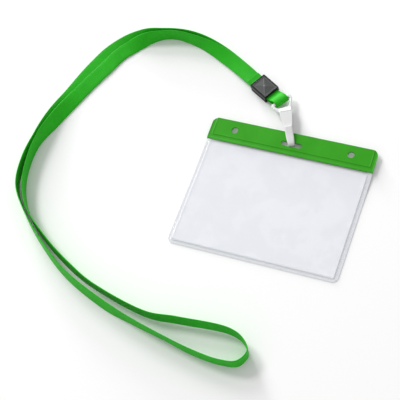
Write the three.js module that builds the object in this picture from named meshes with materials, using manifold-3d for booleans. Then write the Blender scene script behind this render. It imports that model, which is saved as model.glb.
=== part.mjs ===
// Lanyard badge holder: a clear-fronted vinyl pocket with a green punched header, a white J-hook with a
// springy gate, a two-part strap clamp and one long woven neck ribbon.
// Millimetres, +Z up. The origin is the centre of the holder's back, which lies on z = 0.
// +X runs along the holder's long side and +Y runs towards its header.

import * as THREE from 'three';
import { mergeVertices } from 'three/addons/utils/BufferGeometryUtils.js';
import Module from 'manifold-3d';

const wasm = await Module();
wasm.setup();

// ---------- driving dimensions ----------
const HOLDER = { width: 112, height: 94, cornerRadius: 4, headerHeight: 16, filmThickness: 0.25 };
const HEADER = { stripThickness: 0.35, layerGap: 0.05, holeRadius: 2.25, holeSpacing: 78.8, holeDrop: 6.8 };
const SLOT = { length: 14, height: 3.4, drop: 8.35 };
const POCKET = { weldWidth: 1.8, depth: 0.75, rampWidth: 1.2, mouthGap: 0.6 };
const CARD = { width: 105, height: 74, thickness: 0.25, centreX: 0.6, centreY: -7.6 };
const LIFT = { startY: 3, rise: 0.9 };
const HOOK = {
  azimuth: THREE.MathUtils.degToRad(116), pitch: THREE.MathUtils.degToRad(3.2),
  bendWidth: 4.4, spineThickness: 1.5, bendThickness: 1.7, noseThickness: 1.4,
  innerGap: 1.8, noseEnd: 12.2, headStart: 23.9, headEnd: 27.8, headHalfWidth: 4.1,
};
const GATE = {
  tip: 11.3, root: 23.6, tipWidth: 5.4, rootWidth: 8.2, thickness: 1.1, rootHeight: 2.6, tipHeight: 1.85,
};
const CLAMP = {
  centre: new THREE.Vector2(-30.6, 76.2), azimuth: THREE.MathUtils.degToRad(-30.5),
  length: 15, width: 12.4, height: 6, plateThickness: 2.05, floorThickness: 1.2, wall: 0.85, parting: 2.35,
};
const RIBBON = { width: 10, loopWidth: 9.8, thickness: 0.7 };

// ---------- materials ----------
const material = (color, roughness, opacity = 1) => new THREE.MeshStandardMaterial({
  color, roughness, metalness: 0, opacity, transparent: opacity < 1,
});
const CLEAR_VINYL = material(0xeef1f6, 0.12, 0.35);
const GREEN_VINYL = material(0x42a32c, 0.42);
const WHITE_VINYL = material(0xe8ebf0, 0.3);
const WHITE_CARD = material(0xf4f4f2, 0.8);
const WHITE_PLASTIC = material(0xe9e9e9, 0.4);
const BLACK_PLASTIC = material(0x1b1d1d, 0.5);
const GREEN_RIBBON = material(0x33ad28, 0.85);

// ---------- helpers ----------
const part = new THREE.Group();

function addPart(name, geometry, look, parent = part) {
  const mesh = new THREE.Mesh(geometry, look);
  mesh.name = name;
  parent.add(mesh);
  return mesh;
}

const smooth = (t) => {
  const s = THREE.MathUtils.clamp(t, 0, 1);
  return s * s * (3 - 2 * s);
};

function weld(geometry) {
  geometry.deleteAttribute('normal');
  geometry.deleteAttribute('uv');
  return mergeVertices(geometry, 1e-5);
}

// A box of segments whose every corner, with coordinates from 0 to 1, is moved by place.
function shapedBox(segments, place) {
  const geometry = weld(new THREE.BoxGeometry(1, 1, 1, ...segments));
  const position = geometry.getAttribute('position');
  for (let i = 0; i < position.count; i += 1) {
    const point = place(position.getX(i) + 0.5, position.getY(i) + 0.5, position.getZ(i) + 0.5);
    position.setXYZ(i, point.x, point.y, point.z);
  }
  geometry.computeVertexNormals();
  return geometry;
}

function toSolid(geometry) {
  const merged = weld(geometry);
  return new wasm.Manifold(new wasm.Mesh({
    numProp: 3,
    vertProperties: new Float32Array(merged.getAttribute('position').array),
    triVerts: new Uint32Array(merged.getIndex().array),
  }));
}

function toGeometry(solid) {
  const mesh = solid.getMesh();
  const geometry = new THREE.BufferGeometry();
  geometry.setAttribute('position', new THREE.BufferAttribute(new Float32Array(mesh.vertProperties), 3));
  geometry.setIndex(new THREE.BufferAttribute(new Uint32Array(mesh.triVerts), 1));
  geometry.computeVertexNormals();
  return geometry;
}

const join = (geometries) => toGeometry(geometries.map(toSolid).reduce((all, next) => all.add(next)));
const cut = (geometry, cutters) => toGeometry(
  cutters.map(toSolid).reduce((left, next) => left.subtract(next), toSolid(geometry)),
);

function block(x0, x1, y0, y1, z0, z1) {
  const geometry = new THREE.BoxGeometry(x1 - x0, y1 - y0, z1 - z0);
  return geometry.translate((x0 + x1) / 2, (y0 + y1) / 2, (z0 + z1) / 2);
}

// A closed outline whose corners are rounded, each by its own reach along both sides.
function roundedOutline(corners, reaches, Kind = THREE.Shape) {
  const outline = new Kind();
  corners.forEach((corner, i) => {
    const before = corners[(i + corners.length - 1) % corners.length];
    const after = corners[(i + 1) % corners.length];
    const start = corner.clone().add(before.clone().sub(corner).setLength(reaches[i]));
    const end = corner.clone().add(after.clone().sub(corner).setLength(reaches[i]));
    if (i === 0) outline.moveTo(start.x, start.y);
    else outline.lineTo(start.x, start.y);
    outline.quadraticCurveTo(corner.x, corner.y, end.x, end.y);
  });
  outline.closePath();
  return outline;
}

const vectors = (pairs) => pairs.map(([x, y]) => new THREE.Vector2(x, y));

// ---------- the holder's heights ----------
const bottomY = -HOLDER.height / 2;
const topY = HOLDER.height / 2;
const headerY = topY - HOLDER.headerHeight;
const liftLength = headerY - LIFT.startY;
const headerSlope = (1.5 * LIFT.rise) / liftLength;

// The pocket lies flat, then bends up as a strip held at one end, and the header carries on straight.
function lift(y) {
  if (y >= headerY) return LIFT.rise + headerSlope * (y - headerY);
  const t = Math.max(0, (y - LIFT.startY) / liftLength);
  return (LIFT.rise * t * t * (3 - t)) / 2;
}

function liftGeometry(geometry) {
  const position = geometry.getAttribute('position');
  for (let i = 0; i < position.count; i += 1) {
    position.setZ(i, position.getZ(i) + lift(position.getY(i)));
  }
  geometry.computeVertexNormals();
  return geometry;
}

const headerRearZ = HOLDER.filmThickness + HEADER.layerGap + POCKET.depth - HEADER.stripThickness
  - HEADER.layerGap;
const filmZ = headerRearZ + HEADER.stripThickness + HEADER.layerGap;
const headerFrontZ = filmZ + HOLDER.filmThickness + HEADER.layerGap;
const headerMiddleZ = (headerRearZ + headerFrontZ + HEADER.stripThickness) / 2;
const slotY = topY - SLOT.drop;
const holeY = topY - HEADER.holeDrop;

// ---------- clear films ----------
// Rows from the bottom edge to the top: each end's share of them follows the corner's quarter circle.
const CORNER_SHARE = 0.18;

function filmRow(t, top, topRadius) {
  const radius = HOLDER.cornerRadius;
  const half = HOLDER.width / 2;
  if (t < CORNER_SHARE) {
    const angle = (t / CORNER_SHARE) * (Math.PI / 2);
    return { y: bottomY + radius * (1 - Math.cos(angle)), half: half - radius * (1 - Math.sin(angle)) };
  }
  if (t > 1 - CORNER_SHARE && topRadius > 0) {
    const angle = ((1 - t) / CORNER_SHARE) * (Math.PI / 2);
    return { y: top - topRadius * (1 - Math.cos(angle)), half: half - topRadius * (1 - Math.sin(angle)) };
  }
  const end = topRadius > 0 ? 1 - CORNER_SHARE : 1;
  const share = (t - CORNER_SHARE) / (end - CORNER_SHARE);
  return { y: THREE.MathUtils.lerp(bottomY + radius, top - topRadius, share), half };
}

// Spreads columns over a length, with a fifth of them packed into the stretch beside each end.
function spread(t, length, edge) {
  const share = 0.2;
  if (t < share) return (t / share) * edge;
  if (t > 1 - share) return length - ((1 - t) / share) * edge;
  return edge + ((t - share) / (1 - 2 * share)) * (length - 2 * edge);
}

function makeRearFilm() {
  const top = headerY - POCKET.mouthGap;
  return shapedBox([4, 24, 1], (a, b, c) => {
    const row = filmRow(b, top, 0);
    return new THREE.Vector3((2 * a - 1) * row.half, row.y, lift(row.y) + c * HOLDER.filmThickness);
  });
}

// How far the front film stands off its side and bottom welds, from 0 on a weld to 1 over the card.
function pocketShare(x, y) {
  const fromSide = HOLDER.width / 2 - POCKET.weldWidth - Math.abs(x);
  const fromBottom = y - bottomY - POCKET.weldWidth;
  const inside = smooth(fromSide / POCKET.rampWidth) * smooth(fromBottom / POCKET.rampWidth);
  const atHeader = smooth((y - (headerY - 7)) / 6);
  return Math.max(inside, atHeader);
}

const slotCorners = () => {
  const x = SLOT.length / 2;
  const y = SLOT.height / 2;
  return vectors([[-x, slotY - y], [x, slotY - y], [x, slotY + y], [-x, slotY + y]]);
};

function punches() {
  const options = { depth: 8, bevelEnabled: false, curveSegments: 6 };
  const slot = roundedOutline(slotCorners(), [1.6, 1.6, 1.6, 1.6]);
  const holes = [-1, 1].map((side) => {
    const hole = new THREE.CylinderGeometry(HEADER.holeRadius, HEADER.holeRadius, 8, 20);
    return hole.rotateX(Math.PI / 2).translate((side * HEADER.holeSpacing) / 2, holeY, 4);
  });
  return [new THREE.ExtrudeGeometry(slot, options), ...holes];
}

function makeFrontFilm() {
  const weldedZ = HOLDER.filmThickness + HEADER.layerGap;
  const sheet = shapedBox([30, 34, 1], (a, b, c) => {
    const row = filmRow(b, topY - 0.2, HOLDER.cornerRadius);
    const half = row.half - 0.1;
    const x = spread(a, 2 * half, 3.6) - half;
    const base = weldedZ + POCKET.depth * pocketShare(x, row.y);
    return new THREE.Vector3(x, row.y, lift(row.y) + base + c * HOLDER.filmThickness);
  });
  return cut(sheet, punches());
}

// ---------- green header strips ----------
function makeHeaderStrip(baseZ) {
  const half = HOLDER.width / 2;
  const corners = vectors([[-half, headerY], [half, headerY], [half, topY], [-half, topY]]);
  const outline = roundedOutline(corners, [0.3, 0.3, HOLDER.cornerRadius, HOLDER.cornerRadius]);
  outline.holes.push(roundedOutline(slotCorners(), [1.6, 1.6, 1.6, 1.6], THREE.Path));
  [-1, 1].forEach((side) => {
    const hole = new THREE.Path();
    hole.absarc((side * HEADER.holeSpacing) / 2, holeY, HEADER.holeRadius, 0, Math.PI * 2, true);
    outline.holes.push(hole);
  });
  const options = { depth: HEADER.stripThickness, bevelEnabled: false, curveSegments: 10 };
  const strip = weld(new THREE.ExtrudeGeometry(outline, options));
  return liftGeometry(strip.translate(0, 0, baseZ));
}

// ---------- paper card ----------
function makeCard() {
  const baseZ = HOLDER.filmThickness + 0.08;
  return shapedBox([2, 20, 1], (a, b, c) => {
    const x = (a - 0.5) * CARD.width + CARD.centreX;
    const y = (b - 0.5) * CARD.height + CARD.centreY;
    return new THREE.Vector3(x, y, lift(y) + baseZ + c * CARD.thickness);
  });
}

// ---------- hook, in its own frame: x towards the eye, y across, z up, origin at the slot ----------
// A bar of rounded section follows stations given as {x, z, width, thickness} along a smooth line.
function roundedBar(stations, steps) {
  const curve = new THREE.CatmullRomCurve3(stations.map((s) => new THREE.Vector3(s.x, 0, s.z)));
  const sizes = new THREE.CatmullRomCurve3(stations.map((s) => new THREE.Vector3(s.width, s.thickness, 0)));
  return shapedBox([steps, 4, 2], (a, b, c) => {
    const centre = curve.getPoint(a);
    const along = curve.getTangent(a);
    const size = sizes.getPoint(a);
    const round = size.y * 0.45;
    const acrossShare = Math.round((b - 0.5) * 4);
    const upShare = Math.round((c - 0.5) * 2);
    const full = size.x / 2;
    const across = [0, full - round, full][Math.abs(acrossShare)] * Math.sign(acrossShare);
    const isCorner = Math.abs(acrossShare) === 2 && upShare !== 0;
    const inset = isCorner ? round * 0.29 : 0;
    const up = upShare * (size.y / 2 - inset);
    return new THREE.Vector3(
      centre.x - along.z * up, across - Math.sign(across) * inset, centre.z + along.x * up,
    );
  });
}

function makeHookStrip() {
  const spineZ = -(HOOK.innerGap + HOOK.spineThickness) / 2;
  const noseZ = (HOOK.innerGap + HOOK.noseThickness) / 2;
  const station = (x, z, width, thickness) => ({ x, z, width, thickness });
  return roundedBar([
    station(HOOK.headEnd - 0.6, spineZ, 7.4, HOOK.spineThickness),
    station(20, spineZ, 6.6, HOOK.spineThickness),
    station(12, spineZ, 5.2, HOOK.spineThickness),
    station(5, spineZ, HOOK.bendWidth, HOOK.spineThickness),
    station(1.7, spineZ + 0.05, HOOK.bendWidth, HOOK.spineThickness),
    station(0.25, -0.95, HOOK.bendWidth, HOOK.bendThickness),
    station(0, 0, HOOK.bendWidth, HOOK.bendThickness),
    station(0.45, 0.95, HOOK.bendWidth, 1.6),
    station(2.1, noseZ - 0.05, 4.8, HOOK.noseThickness),
    station(6, noseZ + 0.5, 5.2, HOOK.noseThickness),
    station(HOOK.noseEnd, noseZ + 1.8, 5.2, HOOK.noseThickness - 0.1),
  ], 44);
}

// The eye leans to one side of the hook, which is where the strap pulls from. Its points are given
// along its bar (from the middle) and inwards from the bar, towards the hook's head.
const EYE = {
  barX: 33.9, barY: 2, turn: THREE.MathUtils.degToRad(-62.5), barWidth: 2.1,
  halfOuter: 7.6, halfInner: 5.7, shoulder: 2.2, thickness: 2.2, bevel: 0.45,
};

function eyePoint(alongBar, inwards) {
  return new THREE.Vector2(
    EYE.barX + alongBar * Math.cos(EYE.turn) + inwards * Math.sin(EYE.turn),
    EYE.barY + alongBar * Math.sin(EYE.turn) - inwards * Math.cos(EYE.turn),
  );
}

function makeEyePlate() {
  const half = EYE.barWidth / 2;
  const outer = [
    new THREE.Vector2(HOOK.headStart + 0.4, HOOK.headHalfWidth), eyePoint(-EYE.halfOuter, EYE.shoulder),
    eyePoint(-EYE.halfOuter, -half), eyePoint(EYE.halfOuter, -half), eyePoint(EYE.halfOuter, EYE.shoulder),
    new THREE.Vector2(HOOK.headEnd - 1.8, -HOOK.headHalfWidth),
  ];
  const inner = [
    new THREE.Vector2(HOOK.headEnd + 0.3, 2.8), new THREE.Vector2(HOOK.headEnd + 1, -2.4),
    eyePoint(EYE.halfInner, EYE.shoulder + 0.8), eyePoint(EYE.halfInner, half),
    eyePoint(-EYE.halfInner, half), eyePoint(-EYE.halfInner, EYE.shoulder + 0.8),
  ];
  const outline = roundedOutline(outer, [1, 1.2, 1.6, 1.6, 1.2, 1]);
  outline.holes.push(roundedOutline(inner, [1, 1, 0.8, 0.5, 0.5, 0.8], THREE.Path));
  const plate = new THREE.ExtrudeGeometry(outline, {
    depth: EYE.thickness - 2 * EYE.bevel, curveSegments: 3,
    bevelThickness: EYE.bevel, bevelSize: EYE.bevel, bevelOffset: -EYE.bevel, bevelSegments: 2,
  });
  return plate.translate(0, 0, -EYE.thickness / 2 + EYE.bevel);
}

function makeHead() {
  const low = -HOOK.innerGap / 2 - HOOK.spineThickness + 0.1;
  const high = GATE.rootHeight + GATE.thickness / 2 + 0.1;
  const profile = roundedOutline(vectors([
    [HOOK.headStart, low], [HOOK.headEnd, low + 0.6], [HOOK.headEnd, high - 1.6], [HOOK.headStart, high],
  ]), [0.7, 0.9, 1.4, 0.7]);
  const depth = 2 * HOOK.headHalfWidth;
  const head = new THREE.ExtrudeGeometry(profile, {
    depth: depth - 0.8, curveSegments: 3, bevelThickness: 0.4, bevelSize: 0.2, bevelOffset: -0.2,
    bevelSegments: 1,
  });
  return head.rotateX(Math.PI / 2).translate(0, depth / 2 - 0.4, 0);
}

const makeHookBody = () => join([makeHookStrip(), makeEyePlate(), makeHead()]);

function makeGate() {
  const length = GATE.root - GATE.tip;
  return shapedBox([10, 4, 1], (a, b, c) => {
    const x = GATE.tip + a * length;
    const width = THREE.MathUtils.lerp(GATE.tipWidth, GATE.rootWidth, smooth(a));
    const roundTip = 1 - 0.3 * (1 - smooth(a * 8));
    const z = THREE.MathUtils.lerp(GATE.tipHeight, GATE.rootHeight, a);
    return new THREE.Vector3(x, (b - 0.5) * width * roundTip, z + (c - 0.5) * GATE.thickness);
  });
}

// ---------- clamp, in its own frame: x towards the hook, y across, z up, origin on the floor ----------
const halfLength = CLAMP.length / 2;
const halfWidth = CLAMP.width / 2;
const innerHalf = halfWidth - CLAMP.wall;

function chamferedPlate(z0, z1, chamfer) {
  const corners = vectors([
    [-halfLength, -halfWidth], [halfLength, -halfWidth], [halfLength, halfWidth], [-halfLength, halfWidth],
  ]);
  const plate = new THREE.ExtrudeGeometry(roundedOutline(corners, [0.7, 0.7, 0.7, 0.7]), {
    depth: z1 - z0 - 2 * chamfer, curveSegments: 3,
    bevelThickness: chamfer, bevelSize: chamfer, bevelOffset: -chamfer, bevelSegments: 1,
  });
  return plate.translate(0, 0, z0 + chamfer);
}

function makeClampBase() {
  const rails = [-1, 1].map((side) => {
    const edges = [side * (halfWidth - 0.3), side * innerHalf].sort((p, q) => p - q);
    return block(-halfLength + 0.5, halfLength - 0.5, ...edges, 0.6, CLAMP.parting - 0.05);
  });
  const reach = innerHalf + 0.2;
  const ridges = [-4.5, 0, 4.5].map((x) => block(x - 0.4, x + 0.4, -reach, reach, 0.9, 1.75));
  return join([chamferedPlate(0, CLAMP.floorThickness, 0.25), ...rails, ...ridges]);
}

function makeClampCover() {
  const plateZ = CLAMP.height - CLAMP.plateThickness;
  const rails = [-1, 1].map((side) => {
    const edges = [side * (halfWidth - 0.05), side * innerHalf].sort((p, q) => p - q);
    return block(-halfLength + 0.1, halfLength - 0.1, ...edges, CLAMP.parting + 0.05, plateZ + 0.3);
  });
  const plate = chamferedPlate(plateZ, CLAMP.height, 0.35);
  const recess = block(-halfLength + 1.3, halfLength - 1.3, -halfWidth + 1.3, halfWidth - 1.3,
    CLAMP.height - 0.4, CLAMP.height + 1);
  const pyramid = new THREE.CylinderGeometry(0, 1, 0.55, 4, 1).rotateY(Math.PI / 4).rotateX(Math.PI / 2);
  pyramid.scale((halfLength - 1.9) * Math.SQRT2, (halfWidth - 1.9) * Math.SQRT2, 1);
  pyramid.translate(0, 0, CLAMP.height - 0.42 + 0.275);
  return join([cut(plate, [recess]), ...rails, pyramid]);
}

// The strap's end, held in the clamp: it comes out as a short tail, runs through, round the eye and back.
function makeRingLoop(bar) {
  const layerTop = 3.45;
  const layerLow = 2.3;
  const radius = 2.1;
  const line = new THREE.CatmullRomCurve3([
    [-halfLength - 4.6, layerTop + 0.6], [-halfLength - 1.5, layerTop + 0.1], [-2.5, layerTop],
    [halfLength - 1.5, layerTop], [halfLength + 2.6, layerTop + 0.9], [bar.x - 2.2, bar.z + radius - 0.15],
    [bar.x, bar.z + radius], [bar.x + radius * 0.71, bar.z + radius * 0.71], [bar.x + radius, bar.z],
    [bar.x + radius * 0.71, bar.z - radius * 0.71], [bar.x, bar.z - radius],
    [bar.x - 3, bar.z - radius - 0.1], [halfLength - 1, layerLow], [0, layerLow], [-halfLength, layerLow],
  ].map(([x, z]) => new THREE.Vector3(x, 0, z)), false, 'centripetal');
  return shapedBox([70, 1, 1], (a, b, c) => {
    const centre = line.getPoint(a);
    const along = line.getTangent(a);
    const share = smooth((centre.x - halfLength) / (bar.x - halfLength));
    const across = (b - 0.5) * RIBBON.loopWidth;
    const offset = (c - 0.5) * RIBBON.thickness;
    const skew = bar.skew * share;
    return new THREE.Vector3(
      centre.x - along.z * offset - across * Math.sin(skew),
      across * Math.cos(skew) + bar.y * share,
      centre.z + along.x * offset,
    );
  });
}

// ---------- neck ribbon ----------
// The route of the ribbon's middle, as x, y, z and the lean of its width in degrees: at 0 it lies flat
// and at -90 it stands on edge. It leaves the clamp, turns at the far loop and comes back to the clamp.
const ROUTE = [
  [-37.3, 80.1, 2.45, 0], [-62, 93, 3.7, -32], [-87.4, 101.3, 5.1, -74], [-111.5, 101.7, 5.2, -90],
  [-136, 85, 2.1, -15], [-145.1, 66.9, 1.9, -12], [-154.5, 44.7, 2.1, -16], [-162.6, 18.7, 4.2, -50],
  [-167, -1.4, 5.2, -86], [-166, -19.9, 5.2, -92], [-161.7, -35.2, 5.2, -92], [-152.2, -50.7, 5.2, -92],
  [-131.5, -67.7, 5.2, -98], [-107, -82, 5.2, -98], [-88.1, -89.9, 5.2, -92], [-48, -99, 5.2, -92],
  [-28, -97.4, 5.2, -95], [4.7, -95.6, 5.2, -93], [14.4, -99.1, 5.2, -92], [19.6, -105.9, 5.2, -94],
  [16, -113.6, 5.2, -91], [5.5, -115.8, 5.2, -91], [-13, -114.5, 5.2, -89], [-32.9, -110.5, 5.2, -92],
  [-57.9, -105.2, 5.2, -86], [-77.9, -99.8, 5.1, -76], [-109.2, -86.9, 5.1, -79],
  [-133.2, -70.6, 5.2, -82], [-153.8, -52.4, 5.2, -86], [-165.7, -37.2, 5.2, -87], [-170, -20, 5.2, -87],
  [-169.3, -0.1, 5.2, -94], [-159.8, 43.4, 2.1, -163], [-153.2, 66, 1.7, -168],
  [-144.4, 84.4, 1.8, -165], [-130.2, 96.1, 3.9, -136], [-112.4, 103.4, 5.2, -94],
  [-87.2, 103.6, 5.2, -107], [-50, 87.9, 1.75, -170], [-37.3, 80.1, 1.5, -180],
];
const STEPS_PER_POINT = 2;
const FLOOR_GAP = 0.15;

function makeNeckRibbon() {
  const middle = new THREE.CatmullRomCurve3(ROUTE.map(([x, y, z]) => new THREE.Vector3(x, y, z)));
  const leans = new THREE.CatmullRomCurve3(ROUTE.map((row) => new THREE.Vector3(row[3], 0, 0)));
  const up = new THREE.Vector3(0, 0, 1);
  return shapedBox([STEPS_PER_POINT * (ROUTE.length - 1), 1, 1], (a, b, c) => {
    const along = middle.getTangent(a);
    const left = new THREE.Vector3().crossVectors(up, along).normalize();
    const lean = THREE.MathUtils.degToRad(leans.getPoint(a).x);
    const across = left.multiplyScalar(Math.cos(lean)).addScaledVector(up, Math.sin(lean)).normalize();
    const normal = new THREE.Vector3().crossVectors(along, across);
    const point = middle.getPoint(a);
    const height = RIBBON.width * Math.abs(Math.sin(lean)) + RIBBON.thickness * Math.abs(Math.cos(lean));
    point.z = Math.max(point.z, height / 2 + FLOOR_GAP);
    return point
      .addScaledVector(across, (b - 0.5) * RIBBON.width)
      .addScaledVector(normal, (c - 0.5) * RIBBON.thickness);
  });
}

// ---------- assembly ----------
addPart('rear_film', makeRearFilm(), WHITE_VINYL);
addPart('front_film', makeFrontFilm(), CLEAR_VINYL);
addPart('header_rear_strip', makeHeaderStrip(headerRearZ), GREEN_VINYL);
addPart('header_front_strip', makeHeaderStrip(headerFrontZ), GREEN_VINYL);
addPart('insert_card', makeCard(), WHITE_CARD);

const hook = new THREE.Group();
hook.position.set(0, slotY, lift(slotY) + headerMiddleZ);
hook.rotation.order = 'ZYX';
hook.rotation.set(0, -HOOK.pitch, HOOK.azimuth);
part.add(hook);
addPart('hook_body', makeHookBody(), WHITE_PLASTIC, hook);
addPart('hook_gate', makeGate(), WHITE_PLASTIC, hook);

const clamp = new THREE.Group();
clamp.position.set(CLAMP.centre.x, CLAMP.centre.y, 0);
clamp.rotation.z = CLAMP.azimuth;
part.add(clamp);
addPart('clamp_base', makeClampBase(), BLACK_PLASTIC, clamp);
addPart('clamp_cover', makeClampCover(), BLACK_PLASTIC, clamp);

// The middle of the eye's bar, seen from the clamp, and the angle of the bar to the strap's width.
part.updateMatrixWorld(true);
const barLocal = clamp.worldToLocal(hook.localToWorld(new THREE.Vector3(EYE.barX, EYE.barY, 0)));
const barSkew = EYE.turn + HOOK.azimuth - CLAMP.azimuth - Math.PI / 2;
addPart('ring_loop_ribbon', makeRingLoop({
  x: barLocal.x, y: barLocal.y, z: barLocal.z, skew: barSkew,
}), GREEN_RIBBON, clamp);

addPart('neck_ribbon', makeNeckRibbon(), GREEN_RIBBON);

export default part;
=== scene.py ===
"""Looks for the lanyard badge holder: camera, ribbons, clear pocket, header, hook, clamp and light."""

import math

import bpy
import numpy as np
from mathutils import Matrix, Vector


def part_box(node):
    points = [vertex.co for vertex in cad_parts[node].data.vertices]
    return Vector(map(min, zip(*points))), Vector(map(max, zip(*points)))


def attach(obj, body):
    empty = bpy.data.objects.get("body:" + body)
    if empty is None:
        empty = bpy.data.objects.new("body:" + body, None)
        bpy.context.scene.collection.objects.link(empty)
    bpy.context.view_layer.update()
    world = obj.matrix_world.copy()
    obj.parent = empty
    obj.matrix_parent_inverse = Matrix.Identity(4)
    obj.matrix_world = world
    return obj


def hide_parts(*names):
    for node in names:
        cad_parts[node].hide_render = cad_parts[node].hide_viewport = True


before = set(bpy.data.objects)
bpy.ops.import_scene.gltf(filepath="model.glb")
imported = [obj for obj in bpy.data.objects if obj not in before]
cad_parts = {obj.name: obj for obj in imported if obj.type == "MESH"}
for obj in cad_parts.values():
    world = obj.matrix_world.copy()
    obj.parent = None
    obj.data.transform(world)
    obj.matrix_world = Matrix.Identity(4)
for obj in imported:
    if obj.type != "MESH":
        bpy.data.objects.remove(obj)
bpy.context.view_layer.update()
MM = 0.001

# ---------- sizes, in millimetres, as the CAD part has them ----------
WIDTH, CORNER = 112, 4
BOTTOM_Y, TOP_Y, HEADER_Y = -47, 47, 31
FILM = 0.25
LIFT_START, LIFT_RISE = 3, 0.9
WELD_WIDTH, RAMP_WIDTH, POCKET_DEPTH, MOUTH_GAP = 1.8, 1.2, 0.75, 0.6
WELD_FOOT = WELD_WIDTH + RAMP_WIDTH
STRIP, LAYER_GAP = 0.35, 0.05
REAR_STRIP_Z, FRONT_STRIP_Z = 0.65, 1.35
HOLE_RADIUS, HOLE_X, HOLE_Y = 2.25, 39.4, 40.2
SLOT_LENGTH, SLOT_HEIGHT, SLOT_Y = 14, 3.4, 38.65
RIBBON_WIDTH, RIBBON_THICKNESS = 10, 0.7
FLOOR_GAP = 0.15

CLAMP_CENTRE = Vector((-30.6, 76.2, 0))
CLAMP_TURN = math.radians(-30.5)
CLAMP_HALF_LENGTH, CLAMP_HALF_WIDTH = 7.5, 6.2
HOOK_TURN, HOOK_PITCH = math.radians(116), math.radians(3.2)
BAR_X, BAR_Y, BAR_TURN = 33.9, 2, math.radians(-62.5)

# The ribbon's middle as x, y, z and the lean of its width in degrees, as in the CAD part.
ROUTE = [
    (-37.3, 80.1, 2.45, 0), (-62, 93, 3.7, -32), (-87.4, 101.3, 5.1, -74), (-111.5, 101.7, 5.2, -90),
    (-136, 85, 2.1, -15), (-145.1, 66.9, 1.9, -12), (-154.5, 44.7, 2.1, -16), (-162.6, 18.7, 4.2, -50),
    (-167, -1.4, 5.2, -86), (-166, -19.9, 5.2, -92), (-161.7, -35.2, 5.2, -92),
    (-152.2, -50.7, 5.2, -92), (-131.5, -67.7, 5.2, -98), (-107, -82, 5.2, -98),
    (-88.1, -89.9, 5.2, -92), (-48, -99, 5.2, -92), (-28, -97.4, 5.2, -95), (4.7, -95.6, 5.2, -93),
    (14.4, -99.1, 5.2, -92), (19.6, -105.9, 5.2, -94), (16, -113.6, 5.2, -91), (5.5, -115.8, 5.2, -91),
    (-13, -114.5, 5.2, -89), (-32.9, -110.5, 5.2, -92), (-57.9, -105.2, 5.2, -86),
    (-77.9, -99.8, 5.1, -76), (-109.2, -86.9, 5.1, -79), (-133.2, -70.6, 5.2, -82),
    (-153.8, -52.4, 5.2, -86), (-165.7, -37.2, 5.2, -87), (-170, -20, 5.2, -87),
    (-169.3, -0.1, 5.2, -94), (-159.8, 43.4, 2.1, -163), (-153.2, 66, 1.7, -168),
    (-144.4, 84.4, 1.8, -165), (-130.2, 96.1, 3.9, -136), (-112.4, 103.4, 5.2, -94),
    (-87.2, 103.6, 5.2, -107), (-50, 87.9, 1.75, -170), (-37.3, 80.1, 1.5, -180),
]


# ---------- camera, as fitted to the photo; its lens and sensor are in millimetres ----------
CAMERA_PLACE = Vector((194.17, -327.74, 658.38)) * MM
CAMERA_FORWARD = Vector((-0.3118, 0.4095, -0.8574))
CAMERA_UP = Vector((-0.2160, 0.8482, 0.4836))
CAMERA_LENS, CAMERA_SENSOR = 108, 36


def add_camera():
    data = bpy.data.cameras.new("camera")
    data.lens = CAMERA_LENS
    data.sensor_width = CAMERA_SENSOR
    data.clip_start = 0.01
    camera = bpy.data.objects.new("camera", data)
    bpy.context.scene.collection.objects.link(camera)
    forward = CAMERA_FORWARD.normalized()
    right = forward.cross(CAMERA_UP).normalized()
    up = right.cross(forward)
    turn = Matrix((right, up, -forward)).transposed()
    camera.matrix_world = Matrix.Translation(CAMERA_PLACE) @ turn.to_4x4()
    bpy.context.scene.camera = camera


# ---------- mesh helpers ----------
def smooth(t):
    """A share eased in and out between 0 and 1."""
    s = np.clip(t, 0, 1)
    return s * s * (3 - 2 * s)


def add_mesh(name, points, faces, uvs=None):
    """A shaded-smooth mesh object from points in millimetres; uvs holds one pair for each point."""
    mesh = bpy.data.meshes.new(name)
    mesh.from_pydata([tuple(p) for p in np.asarray(points) * MM], [], faces)
    mesh.polygons.foreach_set("use_smooth", [True] * len(mesh.polygons))
    if uvs is not None:
        corners = np.zeros(len(mesh.loops), np.int32)
        mesh.loops.foreach_get("vertex_index", corners)
        layer = mesh.uv_layers.new(name="along_across")
        layer.data.foreach_set("uv", np.asarray(uvs, np.float32)[corners].ravel())
    mesh.update()
    piece = bpy.data.objects.new(name, mesh)
    bpy.context.scene.collection.objects.link(piece)
    return piece


def tube_faces(rings, around):
    """Faces of a closed tube of rings, each with that many points, and its two end caps."""
    faces = []
    for i in range(rings - 1):
        for j in range(around):
            k = (j + 1) % around
            faces.append((i * around + j, i * around + k, (i + 1) * around + k, (i + 1) * around + j))
    faces.append(tuple(reversed(range(around))))
    faces.append(tuple((rings - 1) * around + j for j in range(around)))
    return faces


def slab(name, columns, rows, place, thickness):
    """A closed sheet: place(a, b) gives its lower points from shares 0 to 1, and thickness is in z."""
    a, b = np.meshgrid(np.linspace(0, 1, columns + 1), np.linspace(0, 1, rows + 1))
    x, y, z = place(a.ravel(), b.ravel())
    lower = np.stack([x, y, z], 1)
    upper = lower + (0, 0, thickness)
    across, total = columns + 1, (columns + 1) * (rows + 1)
    faces = []
    for r in range(rows):
        for c in range(columns):
            i = r * across + c
            quad = (i, i + 1, i + across + 1, i + across)
            faces.append(tuple(total + k for k in quad))
            faces.append(tuple(reversed(quad)))
    rim = [*range(columns + 1)]
    rim += [r * across + columns for r in range(1, rows + 1)]
    rim += [rows * across + c for c in range(columns - 1, -1, -1)]
    rim += [r * across for r in range(rows - 1, 0, -1)]
    for i, j in zip(rim, rim[1:] + rim[:1]):
        faces.append((i, j, total + j, total + i))
    return add_mesh(name, np.concatenate([lower, upper]), faces)


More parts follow.
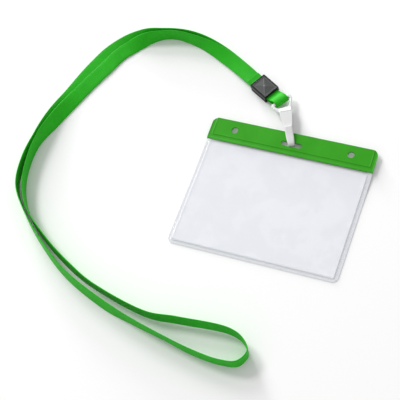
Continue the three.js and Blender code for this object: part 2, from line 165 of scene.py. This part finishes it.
def apply_modifiers(piece):
    """Bakes the modifiers into the mesh and leaves none on the piece."""
    bpy.context.view_layer.update()
    evaluated = piece.evaluated_get(bpy.context.evaluated_depsgraph_get())
    mesh = bpy.data.meshes.new_from_object(evaluated)
    piece.modifiers.clear()
    piece.data = mesh
    mesh.polygons.foreach_set("use_smooth", [True] * len(mesh.polygons))


# ---------- curves through given points ----------------
def catmull(points, per_span):
    """A centripetal Catmull-Rom curve through the points, as the CAD part draws it."""
    rows = np.asarray(points, float)
    rows = np.vstack([2 * rows[0] - rows[1], rows, 2 * rows[-1] - rows[-2]])
    shares = np.linspace(0, 1, per_span, endpoint=False)[:, None]
    spans = []
    for p0, p1, p2, p3 in zip(rows, rows[1:], rows[2:], rows[3:]):
        d1 = max(np.linalg.norm(p2 - p1) ** 0.5, 1e-4)
        d0 = np.linalg.norm(p1 - p0) ** 0.5 or d1
        d2 = np.linalg.norm(p3 - p2) ** 0.5 or d1
        start = ((p1 - p0) / d0 - (p2 - p0) / (d0 + d1) + (p2 - p1) / d1) * d1
        end = ((p2 - p1) / d1 - (p3 - p1) / (d1 + d2) + (p3 - p2) / d2) * d1
        cubic = 2 * p1 - 2 * p2 + start + end
        square = 3 * p2 - 3 * p1 - 2 * start - end
        spans.append(p1 + start * shares + square * shares**2 + cubic * shares**3)
    return np.vstack([*spans, rows[-2][None]])


def distances(line):
    """How far along the line each of its points is."""
    return np.concatenate([[0], np.cumsum(np.linalg.norm(np.diff(line, axis=0), axis=1))])


def ribbon_section():
    """The ribbon's outline, as across and normal: a little thinner in its middle, with narrow edges."""
    half, thick = RIBBON_WIDTH / 2, RIBBON_THICKNESS / 2
    face = [(-0.97, 0.8), (-0.9, 1), (-0.5, 0.96), (0, 0.94), (0.5, 0.96), (0.9, 1), (0.97, 0.8)]
    upper = [(s * half, n * thick) for s, n in face]
    lower = [(-s * half, -n * thick) for s, n in face]
    return np.array([*upper, (half, 0), *lower, (-half, 0)])


def ribbon_mesh(name, middle, across, normal):
    """A woven ribbon swept along middle, with its width along across. Its UVs are in millimetres."""
    section = ribbon_section()
    count = len(section)
    points = (
        middle[:, None]
        + across[:, None] * section[None, :, :1]
        + normal[:, None] * section[None, :, 1:]
    ).reshape(-1, 3)
    along = np.repeat(distances(middle), count)
    side = np.tile(section[:, 0], len(middle))
    faces = [tuple(reversed(f)) for f in tube_faces(len(middle), count)]
    return add_mesh(name, points, faces, np.stack([along, side], 1))


# ---------- ribbons ----------
# Rings of mesh in each span of a curve, and rings in each step of the cord's path.
NECK_STEPS, LOOP_STEPS, PATH_STEP = 50, 14, 6
LOOP_NARROWING = 0.98  # the looped end's share of the ribbon's width


def neck_line():
    """The neck ribbon's middle line, its width direction and its face direction, all along it."""
    rows = np.asarray(ROUTE, float)
    middle = catmull(rows[:, :3], NECK_STEPS)
    leans = np.stack([rows[:, 3], 0 * rows[:, 3], 0 * rows[:, 3]], 1)
    lean = np.radians(catmull(leans, NECK_STEPS)[:, 0])
    height = RIBBON_WIDTH * abs(np.sin(lean)) + RIBBON_THICKNESS * abs(np.cos(lean))
    middle[:, 2] = np.maximum(middle[:, 2], height / 2 + FLOOR_GAP)
    tangent = np.gradient(middle, axis=0)
    tangent /= np.linalg.norm(tangent, axis=1)[:, None]
    up = np.array([0.0, 0.0, 1.0])
    left = np.cross(up, tangent)
    left /= np.linalg.norm(left, axis=1)[:, None]
    across = left * np.cos(lean)[:, None] + up * np.sin(lean)[:, None]
    return middle, across, np.cross(tangent, across)


def make_neck_ribbon(weave):
    middle, across, normal = neck_line()
    ribbon = ribbon_mesh("neck_ribbon_woven", middle, across, normal)
    ribbon.data.materials.append(weave)
    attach(ribbon, "lanyard")
    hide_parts("neck_ribbon")


def hook_matrix():
    """From the hook's own frame, whose origin is in the header's slot, to the object's."""
    slot_z = lift(SLOT_Y) + (REAR_STRIP_Z + FRONT_STRIP_Z + STRIP) / 2
    turn = Matrix.Rotation(HOOK_TURN, 4, "Z") @ Matrix.Rotation(-HOOK_PITCH, 4, "Y")
    return Matrix.Translation((0, SLOT_Y, slot_z)) @ turn


def clamp_matrix():
    """From the clamp's own frame, whose origin is on the floor under its middle, to the object's."""
    return Matrix.Translation(CLAMP_CENTRE) @ Matrix.Rotation(CLAMP_TURN, 4, "Z")


def loop_line(bar):
    """The looped end in the clamp's own frame: out of the clamp, round the hook's bar and back."""
    top, low, radius, half = 3.45, 2.3, 2.1, CLAMP_HALF_LENGTH
    return [
        (-half - 4.6, top + 0.6), (-half - 1.5, top + 0.1), (-2.5, top), (half - 1.5, top),
        (half + 2.6, top + 0.9), (bar.x - 2.2, bar.z + radius - 0.15), (bar.x, bar.z + radius),
        (bar.x + radius * 0.71, bar.z + radius * 0.71), (bar.x + radius, bar.z),
        (bar.x + radius * 0.71, bar.z - radius * 0.71), (bar.x, bar.z - radius),
        (bar.x - 3, bar.z - radius - 0.1), (half - 1, low), (0, low), (-half, low),
    ]


def make_ring_loop(weave):
    bar = clamp_matrix().inverted() @ (hook_matrix() @ Vector((BAR_X, BAR_Y, 0)))
    skew_end = BAR_TURN + HOOK_TURN - CLAMP_TURN - math.pi / 2
    line = catmull([(x, 0, z) for x, z in loop_line(bar)], LOOP_STEPS)
    tangent = np.gradient(line, axis=0)
    tangent /= np.linalg.norm(tangent, axis=1)[:, None]
    share = smooth((line[:, 0] - CLAMP_HALF_LENGTH) / (bar.x - CLAMP_HALF_LENGTH))
    skew = skew_end * share
    middle = line + np.stack([0 * share, bar.y * share, 0 * share], 1)
    across = np.stack([-np.sin(skew), np.cos(skew), 0 * skew], 1) * LOOP_NARROWING
    normal = np.stack([-tangent[:, 2], 0 * skew, tangent[:, 0]], 1)
    loop = ribbon_mesh("ring_loop_woven", middle, across, normal)
    place = clamp_matrix()
    place.translation *= MM
    loop.data.transform(place)
    loop.data.materials.append(weave)
    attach(loop, "lanyard")
    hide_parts("ring_loop_ribbon")


# ---------- the pocket's sheets ----------
def lift(y):
    """How far the holder bends up towards its header, as a strip held at one end."""
    length = HEADER_Y - LIFT_START
    t = np.clip((np.asarray(y, float) - LIFT_START) / length, 0, 1)
    slope = 1.5 * LIFT_RISE / length
    return LIFT_RISE * t * t * (3 - t) / 2 + slope * np.maximum(0, np.asarray(y) - HEADER_Y)


def sheet_row(t, bottom, top, bottom_radius, top_radius, share=0.14):
    """The height and half width of a sheet's row, with rounded corners where they have a radius."""
    angle_low = np.clip(t / share, 0, 1) * math.pi / 2
    angle_top = np.clip((1 - t) / share, 0, 1) * math.pi / 2
    between = np.clip((t - share) / (1 - 2 * share), 0, 1)
    y = bottom + bottom_radius + between * (top - top_radius - bottom - bottom_radius)
    y = np.where(t < share, bottom + bottom_radius * (1 - np.cos(angle_low)), y)
    y = np.where(t > 1 - share, top - top_radius * (1 - np.cos(angle_top)), y)
    cut = bottom_radius * (1 - np.sin(angle_low)) + top_radius * (1 - np.sin(angle_top))
    return y, WIDTH / 2 - cut


def spread(t, length, edge, share=0.2):
    """Columns over a length, with a share of them packed beside each end."""
    inner = edge + (t - share) / (1 - 2 * share) * (length - 2 * edge)
    near = t / share * edge
    far = length - (1 - t) / share * edge
    return np.where(t < share, near, np.where(t > 1 - share, far, inner))


def pocket_share(x, y):
    """How far the front film stands off: 0 on the welds, and 1 inside them and at the header."""
    side = (WIDTH / 2 - WELD_WIDTH - abs(x)) / RAMP_WIDTH
    bottom = (y - BOTTOM_Y - WELD_WIDTH) / RAMP_WIDTH
    at_header = smooth((y - (HEADER_Y - 7)) / 6)
    return np.maximum(smooth(side) * smooth(bottom), at_header)


def ripple(x, y):
    """The slack film's shallow waves: long ones across the window, short ones beside its welds."""
    below_header = HEADER_Y - 2 - y
    from_side = WIDTH / 2 - WELD_FOOT - abs(x)
    long_waves = np.sin(x * 0.16 + y * 0.05 + 0.6) * np.sin(y * 0.11 - 0.4)
    header_pulls = np.sin(x * 0.62 + 1.3 * np.sin(y * 0.2)) * np.exp(-below_header / 6)
    side_pulls = np.sin(y * 0.75) * np.exp(-from_side / 2.5)
    return 0.045 * long_waves + 0.05 * np.minimum(header_pulls, 1) + 0.04 * side_pulls


def inside(x, y):
    """1 over the window and 0 on its welds and under the header."""
    fade = 3
    side = smooth((WIDTH / 2 - WELD_FOOT - abs(x)) / fade)
    return side * smooth((y - BOTTOM_Y - WELD_FOOT) / fade) * smooth((HEADER_Y - 1 - y) / fade)


def front_film_place(a, b):
    """The front film, which ends just inside the rear film's sides and the header's top."""
    inset, top_inset, fullness, packed = 0.1, 0.2, 0.03, 4
    y, half = sheet_row(b, BOTTOM_Y, TOP_Y - top_inset, CORNER, CORNER)
    x = spread(a, 2 * (half - inset), packed) - (half - inset)
    z = FILM + LAYER_GAP + POCKET_DEPTH * pocket_share(x, y) + lift(y)
    return x, y, z + (ripple(x, y) + fullness) * inside(x, y)


def rear_film_place(a, b):
    """The rear film, from the bottom up to the mouth below the header."""
    y, half = sheet_row(b, BOTTOM_Y, HEADER_Y - MOUTH_GAP, CORNER, 0)
    return (2 * a - 1) * half, y, lift(y)


def strip_place(base, emboss):
    """The place function of a header strip whose lower side is at base; emboss is in millimetres."""
    def place(a, b):
        y, half = sheet_row(b, HEADER_Y, TOP_Y, 0, CORNER, 0.2)
        x = (2 * a - 1) * half
        return x, y, lift(y) + base - emboss * pressed(x, y)
    return place


# The header's pressed weld, which the CAD part leaves out, in millimetres.
PRESSED_Y, PRESSED_WIDTH, EMBOSS = HEADER_Y + 3.6, 2.6, 0.32


def pressed(x, y):
    """How far the header is pressed in, as a share of the emboss and below 0 where it is raised.

    A recess runs along its sides and foot, with fine ribs at the foot and a bead inside it."""
    rib_spacing, rib_margin = 1.1, 0.6
    inset = np.minimum(y - PRESSED_Y, WIDTH / 2 - PRESSED_WIDTH - abs(x))
    recess = 0.55 * smooth(-inset / 0.35) * smooth((inset + PRESSED_WIDTH) / 0.6)
    bead = -0.45 * np.exp(-((inset - 0.1) / 0.2) ** 2)
    at_foot = (y < PRESSED_Y - rib_margin) * (y > HEADER_Y + rib_margin)
    ribs = 0.22 * np.sin(x * 2 * math.pi / rib_spacing) * at_foot
    return recess + bead + ribs


def punch_shapes():
    """Closed outlines of the slot and the two round holes."""
    end_steps, hole_steps = 12, 40
    outlines = []
    round_ends = []
    for side in (1, -1):
        for step in range(end_steps + 1):
            turn = side * (-math.pi / 2 + step * math.pi / end_steps)
            x = side * (SLOT_LENGTH - SLOT_HEIGHT) / 2 + SLOT_HEIGHT / 2 * math.cos(turn) * side
            round_ends.append((x, SLOT_Y + SLOT_HEIGHT / 2 * math.sin(turn)))
    outlines.append(round_ends)
    for side in (1, -1):
        turns = [step * 2 * math.pi / hole_steps for step in range(hole_steps)]
        outlines.append([
            (side * HOLE_X + HOLE_RADIUS * math.cos(t), HOLE_Y + HOLE_RADIUS * math.sin(t)) for t in turns
        ])
    return outlines


def punch(piece):
    """Cuts the slot and the holes through the piece."""
    below, above = -1, 9
    for outline in punch_shapes():
        rings = [(x, y, z) for z in (below, above) for x, y in outline]
        cutter = add_mesh("cutter", rings, tube_faces(2, len(outline)))
        cut = piece.modifiers.new("punch", "BOOLEAN")
        cut.operation = "DIFFERENCE"
        cut.solver = "EXACT"
        cut.object = cutter
        apply_modifiers(piece)
        bpy.data.objects.remove(cutter)


def make_sheets(film, backing, green):
    """The two films and the two header strips, in their three materials."""
    embossed, plain = strip_place(FRONT_STRIP_Z, EMBOSS), strip_place(REAR_STRIP_Z, 0)
    front = slab("front_film_vinyl", 150, 120, front_film_place, FILM)
    rear = slab("rear_film_vinyl", 60, 80, rear_film_place, FILM)
    front_strip = slab("header_front_vinyl", 420, 80, embossed, STRIP)
    rear_strip = slab("header_rear_vinyl", 420, 80, plain, STRIP)
    crease = math.radians(50)
    for piece in (front, front_strip, rear_strip):
        punch(piece)
    for piece, node, look, slot_name in (
        (front, "front_film", film, "clear_vinyl"),
        (rear, "rear_film", backing, "white_vinyl"),
        (front_strip, "header_front_strip", green, "green_vinyl"),
        (rear_strip, "header_rear_strip", green, "green_vinyl"),
    ):
        piece.data.set_sharp_from_angle(angle=crease)
        piece.data.materials.clear()
        piece.data.materials.append(look)
        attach(piece, "holder")
        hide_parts(node)


# ---------- moulded plastic ----------
MOULD_SCALE = 100


def moulded(node, name, body, look, voxel, rounds):
    """The CAD solid with its edges rounded off as a moulding has them; voxel is in millimetres.

    The mesh is MOULD_SCALE times its size while it is remeshed."""
    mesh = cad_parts[node].data.copy()
    mesh.transform(Matrix.Scale(MOULD_SCALE, 4))
    piece = bpy.data.objects.new(name, mesh)
    bpy.context.scene.collection.objects.link(piece)
    remesh = piece.modifiers.new("even", "REMESH")
    remesh.mode = "VOXEL"
    remesh.voxel_size = voxel * MM * MOULD_SCALE
    soften = piece.modifiers.new("soften", "SMOOTH")
    soften.factor = 0.5
    soften.iterations = rounds
    apply_modifiers(piece)
    piece.data.transform(Matrix.Scale(1 / MOULD_SCALE, 4))
    piece.data.materials.clear()
    piece.data.materials.append(look)
    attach(piece, body)
    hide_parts(node)
    return piece


def bell(distance, width):
    """1 where the distance is 0, fading to nothing within about twice the width."""
    return math.exp(-((distance / width) ** 2))


def engrave_cover(cover):
    """The clamp's top: a line pressed in near its edge, low ridges to its corners and a small boss.

    The point attribute it adds says how much paler the black is painted there, for the material: painted
    light on the top, as if lit from above, and painted highlights on a line inside the edge, on the ridges
    and on the boss."""
    groove_depth, ridge_height, engraved_depth = 0.2, 0.09, 1.4
    to_clamp = clamp_matrix().inverted()
    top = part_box("clamp_cover")[1].z / MM
    painted_light = cover.data.attributes.new("painted_light", "FLOAT", "POINT")
    for vertex, vertex_painted_light in zip(cover.data.vertices, painted_light.data):
        place = to_clamp @ (vertex.co / MM)
        if place.z < top - engraved_depth:
            continue
        u, v = abs(place.x), abs(place.y)
        edge = min(CLAMP_HALF_LENGTH - u, CLAMP_HALF_WIDTH - v)
        off_corner = abs(u / CLAMP_HALF_LENGTH - v / CLAMP_HALF_WIDTH) * CLAMP_HALF_WIDTH
        # The second, paler line is a painted highlight just inside the pressed line.
        line, painted_highlight_line = bell(edge - 1.0, 0.2), bell(edge - 1.45, 0.25)
        ridge = bell(off_corner, 0.22) * (edge > 1.6)
        boss = bell(u * u + v * v, 0.5)  # the distance squared, which gives it a flatter top
        vertex.co.z += (ridge_height * max(ridge, boss) - groove_depth * line) * MM
        # Painted light: the top inside its edge is paler as if lit from above, and the pale line, the
        # ridges and the boss carry painted highlights.
        vertex_painted_light.value = 0.33 * (edge > 1.1) + 0.4 * painted_highlight_line + 0.15 * ridge + 0.6 * boss


# ---------- materials ----------
def new_material(name, color, roughness, **values):
    """A Principled material whose even values are set on the shader itself."""
    material = bpy.data.materials.new(name)
    material.use_nodes = True
    shader = material.node_tree.nodes["Principled BSDF"]
    shader.inputs["Base Color"].default_value = (*color, 1)
    shader.inputs["Roughness"].default_value = roughness
    for socket, value in values.items():
        shader.inputs[socket.replace("_", " ")].default_value = value
    return material, material.node_tree, shader


def node(tree, kind, **settings):
    """A new node; each setting is one of its inputs, or else one of its properties."""
    made = tree.nodes.new(kind)
    for key, value in settings.items():
        if key in made.inputs:
            made.inputs[key].default_value = value
        else:
            setattr(made, key, value)
    return made


def noise(tree, vector, scale, detail=3, rough=0.55):
    """The factor of a noise texture."""
    made = node(tree, "ShaderNodeTexNoise", Scale=scale, Detail=detail, Roughness=rough)
    tree.links.new(vector, made.inputs["Vector"])
    return made.outputs["Fac"]


def ramp(tree, value, low, high, start=0.0, end=1.0):
    """Maps a 0 to 1 value onto a colour between low and high."""
    made = node(tree, "ShaderNodeValToRGB")
    made.color_ramp.elements[0].color = (*low, 1)
    made.color_ramp.elements[1].color = (*high, 1)
    made.color_ramp.elements[0].position = start
    made.color_ramp.elements[1].position = end
    tree.links.new(value, made.inputs["Fac"])
    return made.outputs["Color"]


def scaled(tree, value, low, high, start=0.0, end=1.0):
    """Maps a value between start and end onto low to high, and holds it there beyond them."""
    made = node(tree, "ShaderNodeMapRange")
    for socket, number in (("From Min", start), ("From Max", end), ("To Min", low), ("To Max", high)):
        made.inputs[socket].default_value = number
    tree.links.new(value, made.inputs["Value"])
    return made.outputs["Result"]


def math_node(tree, operation, first, second):
    """A maths node of two terms, each a number or a socket."""
    made = node(tree, "ShaderNodeMath", operation=operation)
    for socket, value in zip(made.inputs, (first, second)):
        if isinstance(value, (int, float)):
            socket.default_value = value
        else:
            tree.links.new(value, socket)
    return made.outputs[0]


def bump(tree, shader, height, strength, distance):
    """Bump on the shader from a height socket; distance is in millimetres."""
    made = node(tree, "ShaderNodeBump", Strength=strength, Distance=distance * MM)
    tree.links.new(height, made.inputs["Height"])
    tree.links.new(made.outputs["Normal"], shader.inputs["Normal"])


def object_coordinates(tree):
    return node(tree, "ShaderNodeTexCoord").outputs["Object"]


def wave(tree, value, length):
    """A sine wave of that length along the value."""
    return math_node(tree, "SINE", math_node(tree, "MULTIPLY", value, 2 * math.pi / length), 0)


def ribbon_material():
    """Grosgrain: weft ribs across the width, fine warp threads along it and a denser woven edge."""
    material, tree, shader = new_material("green_grosgrain", (0.03, 0.35, 0.015), 0.6, Sheen_Weight=0.04)
    shader.inputs["Sheen Roughness"].default_value = 0.4
    shader.inputs["Sheen Tint"].default_value = (0.6, 1, 0.5, 1)
    shader.inputs["Specular IOR Level"].default_value = 0.2
    uv = node(tree, "ShaderNodeUVMap", uv_map="along_across")
    parts = node(tree, "ShaderNodeSeparateXYZ")
    tree.links.new(uv.outputs["UV"], parts.inputs["Vector"])
    rib_pitch, thread_pitch = 0.75, 0.34
    ribs = wave(tree, parts.outputs["X"], rib_pitch)
    threads = wave(tree, parts.outputs["Y"], thread_pitch)
    weave = math_node(tree, "ADD", ribs, math_node(tree, "MULTIPLY", threads, 0.35))
    edge = math_node(tree, "ABSOLUTE", parts.outputs["Y"], 0)
    selvedge = scaled(tree, edge, 0, 1, 4.2, 4.5)
    cloud = noise(tree, object_coordinates(tree), 90, detail=4)
    clouding = math_node(tree, "MULTIPLY", math_node(tree, "SUBTRACT", cloud, 0.5), 0.5)
    tone = math_node(tree, "ADD", scaled(tree, weave, 0.25, 0.6, -1.35, 1.35), clouding)
    tone = math_node(tree, "SUBTRACT", tone, math_node(tree, "MULTIPLY", selvedge, 0.12))
    color = ramp(tree, tone, (0.012, 0.36, 0.005), (0.03, 0.62, 0.015))
    tree.links.new(color, shader.inputs["Base Color"])
    bump(tree, shader, weave, 0.45, 0.09)
    return material


def green_vinyl_material():
    """Soft pressed vinyl: a fine leathery stipple, faint mottling and smoother handled patches."""
    material, tree, shader = new_material("green_vinyl", (0.034, 0.31, 0.01), 0.42)
    shader.inputs["Specular IOR Level"].default_value = 0.12
    where = object_coordinates(tree)
    mottle = noise(tree, where, 60, detail=4)
    color = ramp(tree, mottle, (0.033, 0.31, 0.009), (0.041, 0.355, 0.014), 0.3, 0.7)
    tree.links.new(color, shader.inputs["Base Color"])
    tree.links.new(scaled(tree, noise(tree, where, 140), 0.34, 0.52), shader.inputs["Roughness"])
    bump(tree, shader, noise(tree, where, 2600, detail=2), 0.25, 0.03)
    return material


def clear_vinyl_material():
    """Clear film with soft long ripples and hazy rubbed patches, milky where it is welded."""
    material, tree, shader = new_material("clear_vinyl", (0.93, 0.94, 0.97), 0.1, IOR=1.5)
    shader.inputs["Specular IOR Level"].default_value = 1
    shader.inputs["Coat Weight"].default_value = 1
    shader.inputs["Coat Roughness"].default_value = 0.05
    where = object_coordinates(tree)
    parts = node(tree, "ShaderNodeSeparateXYZ")
    tree.links.new(where, parts.inputs["Vector"])
    side = math_node(tree, "SUBTRACT", WIDTH / 2 * MM, math_node(tree, "ABSOLUTE", parts.outputs["X"], 0))
    bottom = math_node(tree, "SUBTRACT", parts.outputs["Y"], BOTTOM_Y * MM)
    edge = math_node(tree, "MINIMUM", side, bottom)
    blur = 0.4
    weld = scaled(tree, edge, 1, 0, (WELD_FOOT - blur) * MM, (WELD_FOOT + blur) * MM)
    tree.links.new(scaled(tree, weld, 0.16, 0.3), shader.inputs["Alpha"])
    color = ramp(tree, weld, (0.93, 0.94, 0.97), (0.9, 0.91, 0.94))
    tree.links.new(color, shader.inputs["Base Color"])
    haze = scaled(tree, noise(tree, where, 45, detail=5), 0.05, 0.28, 0.3, 0.75)
    tree.links.new(haze, shader.inputs["Roughness"])
    bump(tree, shader, noise(tree, where, 38, detail=3), 0.35, 1.6)
    return material


def white_vinyl_material():
    """The milky back film: even and satin, with slow mottling."""
    material, tree, shader = new_material("white_vinyl", (0.815, 0.825, 0.865), 0.3)
    where = object_coordinates(tree)
    mottle = noise(tree, where, 40, detail=4)
    color = ramp(tree, mottle, (0.8, 0.81, 0.85), (0.83, 0.84, 0.88))
    tree.links.new(color, shader.inputs["Base Color"])
    bump(tree, shader, noise(tree, where, 60, detail=3), 0.2, 0.5)
    return material


def card_material():
    """Uncoated white card: fine fibres, and paler patches painted in as faint glints on the film over it.
    """
    material, tree, shader = new_material("white_card", (0.82, 0.83, 0.87), 0.85)
    where = object_coordinates(tree)
    fibres = noise(tree, where, 1500, detail=6, rough=0.7)
    # Painted reflection: sharp-edged paler patches stand in for the film's faint glints.
    painted_glints = scaled(tree, noise(tree, where, 40, detail=8, rough=0.68), 0, 1, 0.49, 0.53)
    fine, painted_glint_tone = math_node(tree, "MULTIPLY", fibres, 0.4), math_node(tree, "MULTIPLY", painted_glints, 0.6)
    color = ramp(tree, math_node(tree, "ADD", fine, painted_glint_tone), (0.79, 0.8, 0.84), (0.85, 0.86, 0.895))
    tree.links.new(color, shader.inputs["Base Color"])
    bump(tree, shader, fibres, 0.2, 0.02)
    return material


def white_plastic_material():
    """Moulded white plastic: satin, a touch translucent, scuffed a little where it rubs."""
    material, tree, shader = new_material("white_plastic", (0.79, 0.79, 0.79), 0.36)
    shader.inputs["Subsurface Weight"].default_value = 0.12
    shader.inputs["Subsurface Radius"].default_value = (1.0, 0.9, 0.8)
    shader.inputs["Subsurface Scale"].default_value = 0.0008
    where = object_coordinates(tree)
    tree.links.new(scaled(tree, noise(tree, where, 420, detail=4), 0.28, 0.5), shader.inputs["Roughness"])
    color = ramp(tree, noise(tree, where, 160, detail=3), (0.76, 0.765, 0.77), (0.82, 0.82, 0.815))
    tree.links.new(color, shader.inputs["Base Color"])
    bump(tree, shader, noise(tree, where, 1900, detail=3), 0.12, 0.03)
    return material


def black_plastic_material():
    """Moulded black plastic with a fine grain; its top is painted paler as if lit from above, with painted
    highlights on its pressed line, ridges and boss, and its sharp edges painted paler, partly as wear and
    partly as highlight.
    """
    material, tree, shader = new_material("black_plastic", (0.018, 0.02, 0.02), 0.4)
    shader.inputs["Specular IOR Level"].default_value = 0.3
    where = object_coordinates(tree)
    painted_light = node(tree, "ShaderNodeAttribute", attribute_name="painted_light").outputs["Fac"]
    # Sharp edges are painted paler: partly wear, partly painted highlight.
    edge_wear_and_highlight = scaled(tree, node(tree, "ShaderNodeNewGeometry").outputs["Pointiness"], 0, 0.08, 0.52, 0.6)
    scuffs = scaled(tree, noise(tree, where, 700, detail=5, rough=0.7), -0.06, 0.06, 0.3, 0.7)
    tone = math_node(tree, "ADD", math_node(tree, "ADD", painted_light, edge_wear_and_highlight), scuffs)
    # The pale end of this ramp is painted light: the top as if lit from above, its painted highlights, and
    # the worn, light-catching edges.
    color = ramp(tree, tone, (0.005, 0.006, 0.006), (0.19, 0.2, 0.195))
    tree.links.new(color, shader.inputs["Base Color"])
    tree.links.new(scaled(tree, noise(tree, where, 300, detail=4), 0.32, 0.52), shader.inputs["Roughness"])
    bump(tree, shader, noise(tree, where, 3200, detail=2), 0.3, 0.03)
    return material


def floor_material():
    material, _, shader = new_material("pale_floor", (0.93, 0.93, 0.93), 0.9)
    shader.inputs["Specular IOR Level"].default_value = 0
    return material


# ---------- floor and light ----------
def add_floor():
    reach = 3000
    corners = [(-reach, -reach, 0), (reach, -reach, 0), (reach, reach, 0), (-reach, reach, 0)]
    floor = add_mesh("floor", corners, [(0, 1, 2, 3)])
    floor.data.materials.append(floor_material())


def add_lamp(name, azimuth, elevation, spread_degrees, share):
    """A round lamp that lights the floor in proportion to share, whatever its size and elevation.

    The angles are in degrees, and the distance is in metres."""
    distance = 3
    rise, turn = math.radians(elevation), math.radians(azimuth)
    direction = Vector((math.cos(turn) * math.cos(rise), math.sin(turn) * math.cos(rise), math.sin(rise)))
    data = bpy.data.lights.new(name, "AREA")
    data.shape = "DISK"
    data.size = 2 * distance * math.tan(math.radians(spread_degrees / 2))
    data.energy = share * math.pi**2 * distance**2 / math.sin(rise)
    lamp = bpy.data.objects.new(name, data)
    bpy.context.scene.collection.objects.link(lamp)
    lamp.location = direction * distance
    lamp.rotation_euler = direction.to_track_quat("Z", "Y").to_euler()


def add_light():
    """White surroundings and three soft lamps; the low one's long shadows fall to the lower right."""
    world = bpy.data.worlds.new("studio")
    world.use_nodes = True
    background = world.node_tree.nodes["Background"]
    background.inputs["Color"].default_value = (1, 1, 1, 1)
    background.inputs["Strength"].default_value = 0.57
    bpy.context.scene.world = world
    add_lamp("key", azimuth=160, elevation=42, spread_degrees=16, share=0.25)
    add_lamp("side_lamp", azimuth=140, elevation=24, spread_degrees=20, share=0.2)
    add_lamp("low_lamp", azimuth=132, elevation=9, spread_degrees=10, share=0.08)
    bpy.context.scene.view_settings.view_transform = "Standard"


add_camera()
weave = ribbon_material()
make_neck_ribbon(weave)
make_ring_loop(weave)
make_sheets(clear_vinyl_material(), white_vinyl_material(), green_vinyl_material())
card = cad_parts["insert_card"].data
card.materials.clear()
card.materials.append(card_material())
white, black = white_plastic_material(), black_plastic_material()
moulded("hook_body", "hook_moulding", "hook", white, voxel=0.2, rounds=7)
moulded("hook_gate", "gate_moulding", "gate", white, voxel=0.16, rounds=3)
moulded("clamp_base", "clamp_base_moulding", "lanyard", black, voxel=0.16, rounds=2)
cover = moulded(
    "clamp_cover", "clamp_cover_moulding", "lanyard", black, voxel=0.1, rounds=1
)
engrave_cover(cover)
add_floor()
add_light()
